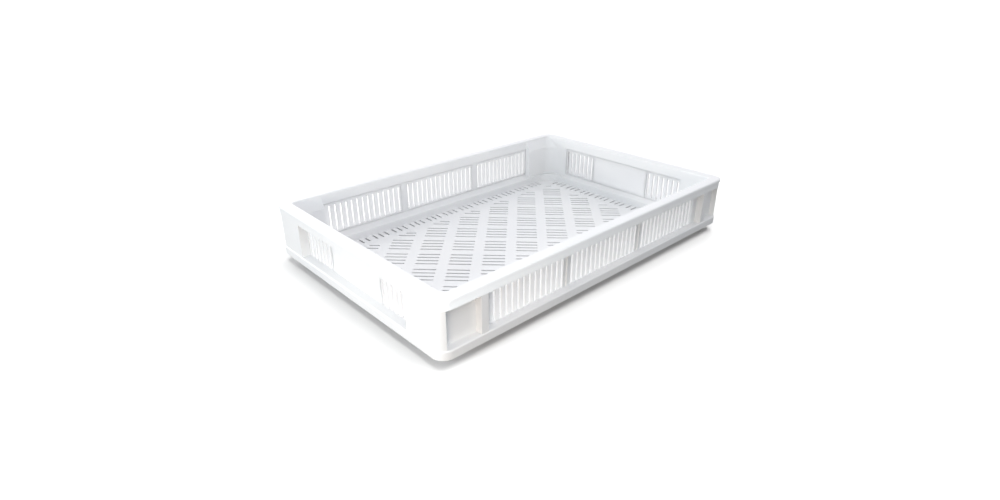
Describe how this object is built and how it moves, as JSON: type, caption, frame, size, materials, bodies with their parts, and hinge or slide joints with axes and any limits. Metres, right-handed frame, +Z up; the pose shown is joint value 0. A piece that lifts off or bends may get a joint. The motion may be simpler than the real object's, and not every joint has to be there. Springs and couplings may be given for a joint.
{
  "type": "slotted tray",
  "caption": "Shallow white plastic stacking tray with a sunken slotted floor, slotted side walls and a wide flat rim, for carrying and airing picked fruit.",
  "frame": {"origin": "at the middle of the tray, level with the foot edge of the sunken pan", "axes": "+X along the long side, +Y along the short side, +Z up out of the open top"},
  "size_m": [0.6, 0.4, 0.0925],
  "materials": {
    "white_plastic": "satin white polyethylene, faintly translucent, fine moulded grain"
  },
  "bodies": {
    "root": {"base_skirt_back": "white_plastic", "base_skirt_corner_back_left": "white_plastic", "base_skirt_corner_back_right": "white_plastic", "base_skirt_corner_front_left": "white_plastic", "base_skirt_corner_front_right": "white_plastic", "base_skirt_front": "white_plastic", "base_skirt_left_end": "white_plastic", "base_skirt_right_end": "white_plastic", "corner_post_back_left": "white_plastic", "corner_post_back_right": "white_plastic", "corner_post_front_left": "white_plastic", "corner_post_front_right": "white_plastic", "floor_border_back": "white_plastic", "floor_border_front": "white_plastic", "floor_border_left_end": "white_plastic", "floor_border_right_end": "white_plastic", "floor_lattice": "white_plastic", "pan_corner_back_left": "white_plastic", "pan_corner_back_right": "white_plastic", "pan_corner_front_left": "white_plastic", "pan_corner_front_right": "white_plastic", "pan_drop_back": "white_plastic", "pan_drop_front": "white_plastic", "pan_drop_left_end": "white_plastic", "pan_drop_right_end": "white_plastic", "pan_sill_back": "white_plastic", "pan_sill_front": "white_plastic", "pan_sill_left_end": "white_plastic", "pan_sill_right_end": "white_plastic", "plain_panel_left_end": "white_plastic", "plain_panel_right_end": "white_plastic", "rim_back": "white_plastic", "rim_corner_back_left": "white_plastic", "rim_corner_back_right": "white_plastic", "rim_corner_front_left": "white_plastic", "rim_corner_front_right": "white_plastic", "rim_front": "white_plastic", "rim_left_end": "white_plastic", "rim_right_end": "white_plastic", "slotted_panel_back_left": "white_plastic", "slotted_panel_back_middle": "white_plastic", "slotted_panel_back_right": "white_plastic", "slotted_panel_front_left": "white_plastic", "slotted_panel_front_middle": "white_plastic", "slotted_panel_front_right": "white_plastic", "slotted_panel_left_end_back": "white_plastic", "slotted_panel_left_end_front": "white_plastic", "slotted_panel_right_end_back": "white_plastic", "slotted_panel_right_end_front": "white_plastic", "wall_rib_back_left": "white_plastic", "wall_rib_back_right": "white_plastic", "wall_rib_front_left": "white_plastic", "wall_rib_front_right": "white_plastic"}
  },
  "joints": []
}
